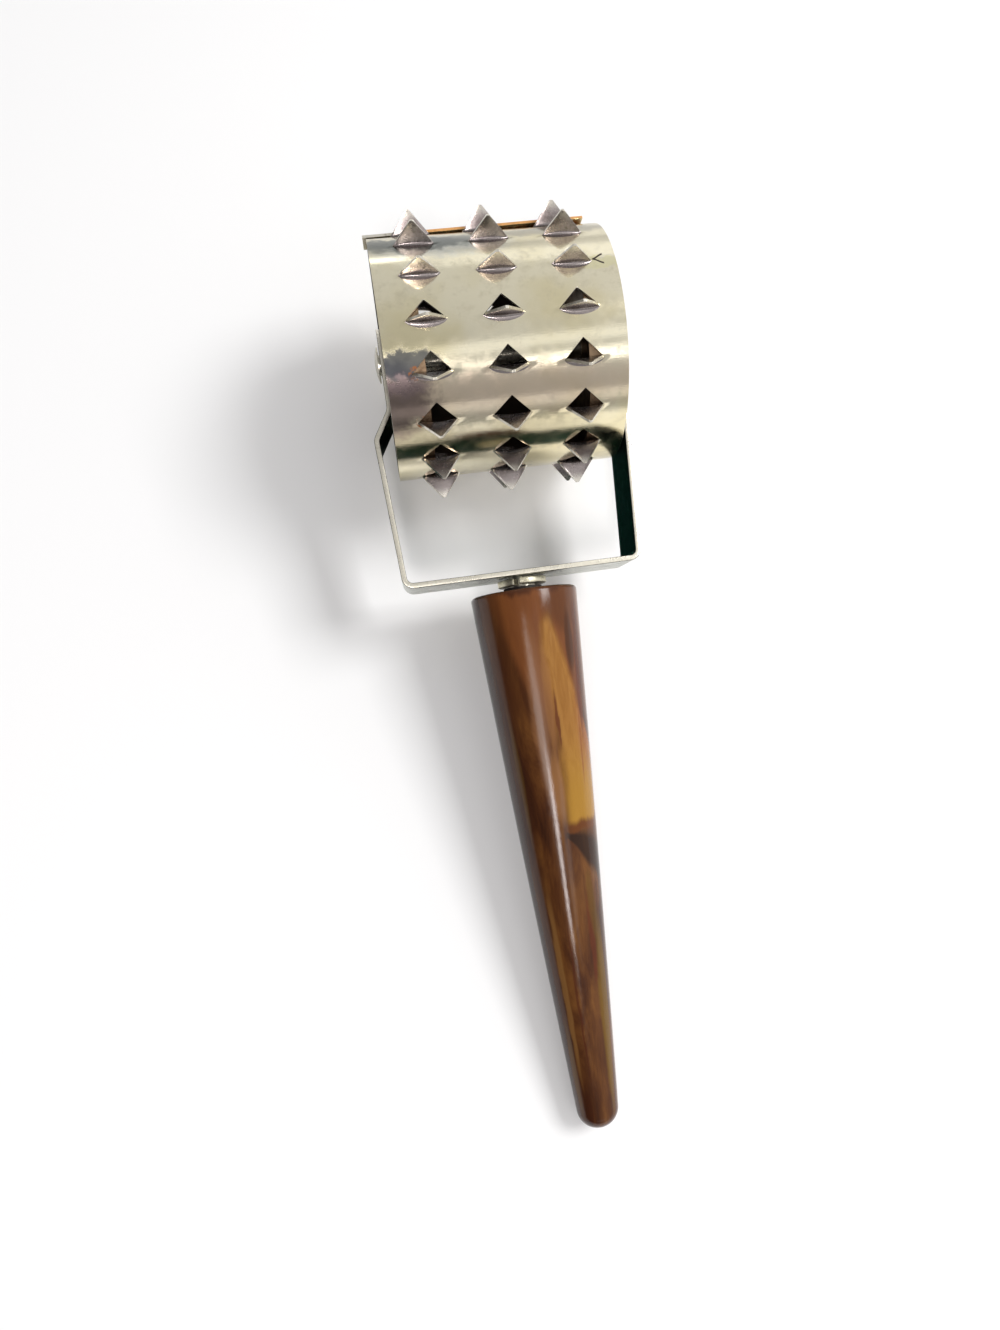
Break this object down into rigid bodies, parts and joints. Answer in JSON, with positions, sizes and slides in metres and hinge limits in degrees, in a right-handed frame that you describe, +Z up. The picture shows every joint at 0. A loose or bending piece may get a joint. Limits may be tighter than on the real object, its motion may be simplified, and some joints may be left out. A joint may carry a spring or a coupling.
{
  "type": "roller meat tenderizer",
  "caption": "Hand roller with a hollow punched sheet drum of pyramid-like teeth on a riveted pin, in a bent strip yoke with a tapered cast resin handle.",
  "frame": {"origin": "on the table, under the middle of the bounding box", "axes": "+X along the drum's pin, +Y from the handle towards the drum, +Z up, as the tool lies on a table"},
  "size_m": [0.0592, 0.2147, 0.0635],
  "materials": {
    "plated_sheet": "nickel-like plated sheet, polished, lightly worn",
    "dull_steel": "dull steel with light rust",
    "bright_steel": "plated steel, lightly worn",
    "plated_strip": "plated strip, polished, bright edges",
    "dark_fibre": "dark matt fibre",
    "cast_resin": "polished marbled brown and amber cast resin"
  },
  "bodies": {
    "yoke_and_handle": {"yoke": "plated_strip", "axle_pin": "bright_steel", "handle_stud": "bright_steel", "lock_washer": "bright_steel", "neck_washer": "dark_fibre", "handle": "cast_resin"},
    "drum": {"drum_sheet": "plated_sheet", "end_disc_left": "dull_steel", "end_disc_right": "dull_steel"}
  },
  "joints": [
    {"name": "drum_spin", "type": "hinge", "parent": "yoke_and_handle", "child": "drum", "pos_m": [0, 0.07567, 0.03167], "axis": [1, 0, 0], "continuous": true}
  ]
}
